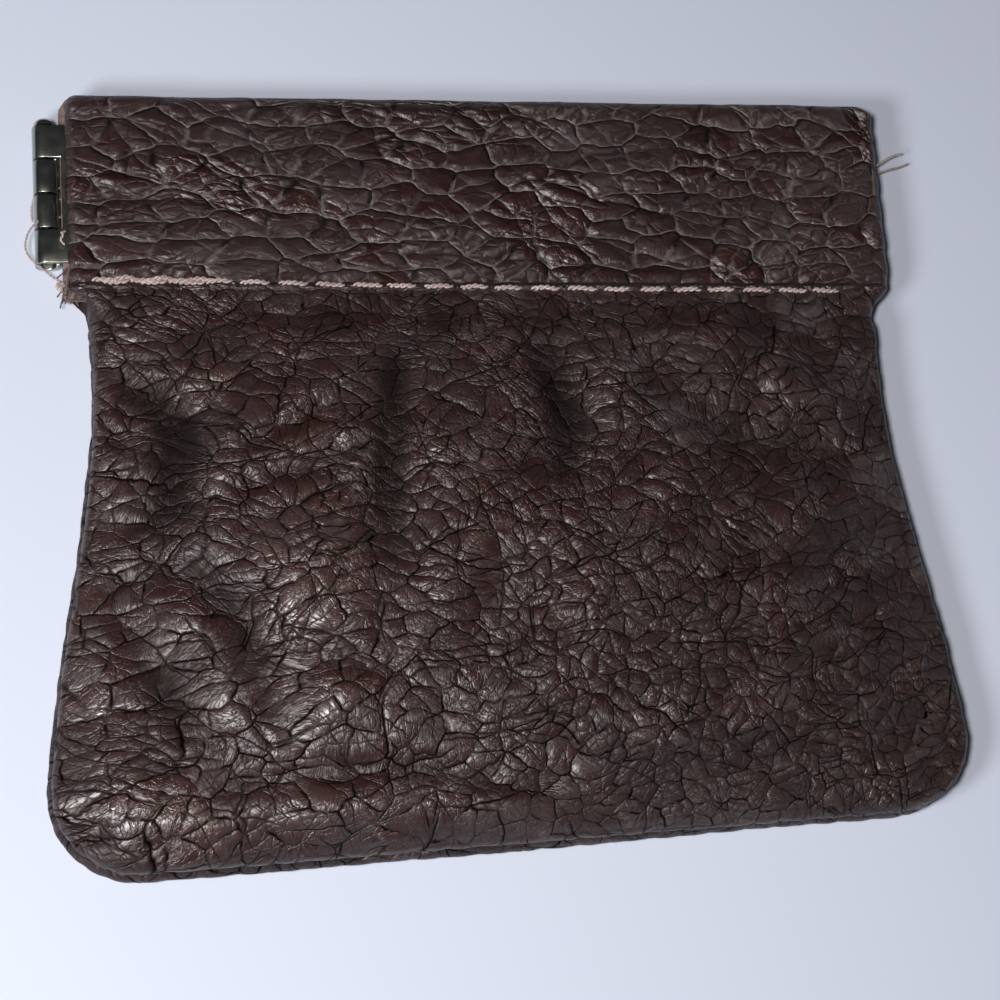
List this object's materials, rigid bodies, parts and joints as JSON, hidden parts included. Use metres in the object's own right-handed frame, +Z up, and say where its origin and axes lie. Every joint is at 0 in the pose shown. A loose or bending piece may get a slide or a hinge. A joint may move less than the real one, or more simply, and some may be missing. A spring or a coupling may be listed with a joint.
{
  "type": "squeeze coin purse",
  "caption": "Small leather squeeze purse whose sprung mouth opens when its two hinged ends are pressed together.",
  "frame": {"origin": "under the middle of the purse's outline, on the table that it lies on", "axes": "+X along the mouth to the right, +Y up to the mouth, +Z up from the table, out of the front panel"},
  "size_m": [0.0921, 0.0806, 0.011],
  "materials": {
    "leather": "dark brown tumbled pebble grain, half gloss",
    "spring_steel": "nickel plated",
    "pin_steel": "nickel plated, worn at the head"
  },
  "bodies": {
    "back_half": {"back_panel": "leather"},
    "front_half": {"front_panel": "leather"},
    "hinge_pins": {"left_hinge_pin": "pin_steel", "right_hinge_pin": "pin_steel"},
    "front_left_leaf": {"front_strip_left": "spring_steel"},
    "front_right_leaf": {"front_strip_right": "spring_steel"},
    "back_left_leaf": {"back_strip_left": "spring_steel"},
    "back_right_leaf": {"back_strip_right": "spring_steel"}
  },
  "joints": [
    {"name": "mouth_open", "type": "hinge", "parent": "back_half", "child": "front_half", "pos_m": [0, -0.0404, 0.0025], "axis": [1, 0, 0], "range_deg": [0, 28], "stiffness_Nm_per_rad": 0.4},
    {"name": "pins_follow", "type": "hinge", "parent": "back_half", "child": "hinge_pins", "pos_m": [0, -0.0404, 0.0025], "axis": [1, 0, 0], "range_deg": [0, 14]},
    {"name": "front_left_hinge", "type": "hinge", "parent": "hinge_pins", "child": "front_left_leaf", "pos_m": [-0.04485, 0.0297, 0.0025], "axis": [0, -1, 0], "range_deg": [0, 24], "deforming": ["front_strip_left"]},
    {"name": "front_right_hinge", "type": "hinge", "parent": "hinge_pins", "child": "front_right_leaf", "pos_m": [0.04155, 0.0297, 0.0025], "axis": [0, 1, 0], "range_deg": [0, 24], "deforming": ["front_strip_right"]},
    {"name": "back_left_hinge", "type": "hinge", "parent": "hinge_pins", "child": "back_left_leaf", "pos_m": [-0.04485, 0.0297, 0.0025], "axis": [0, 1, 0], "range_deg": [0, 24], "deforming": ["back_strip_left"]},
    {"name": "back_right_hinge", "type": "hinge", "parent": "hinge_pins", "child": "back_right_leaf", "pos_m": [0.04155, 0.0297, 0.0025], "axis": [0, -1, 0], "range_deg": [0, 24], "deforming": ["back_strip_right"]}
  ],
  "couplings": [
    {"joint": "pins_follow", "follows": "mouth_open", "ratio": 0.5},
    {"joint": "front_left_hinge", "follows": "mouth_open", "ratio": 0.85},
    {"joint": "front_right_hinge", "follows": "mouth_open", "ratio": 0.85},
    {"joint": "back_left_hinge", "follows": "mouth_open", "ratio": 0.85},
    {"joint": "back_right_hinge", "follows": "mouth_open", "ratio": 0.85}
  ]
}
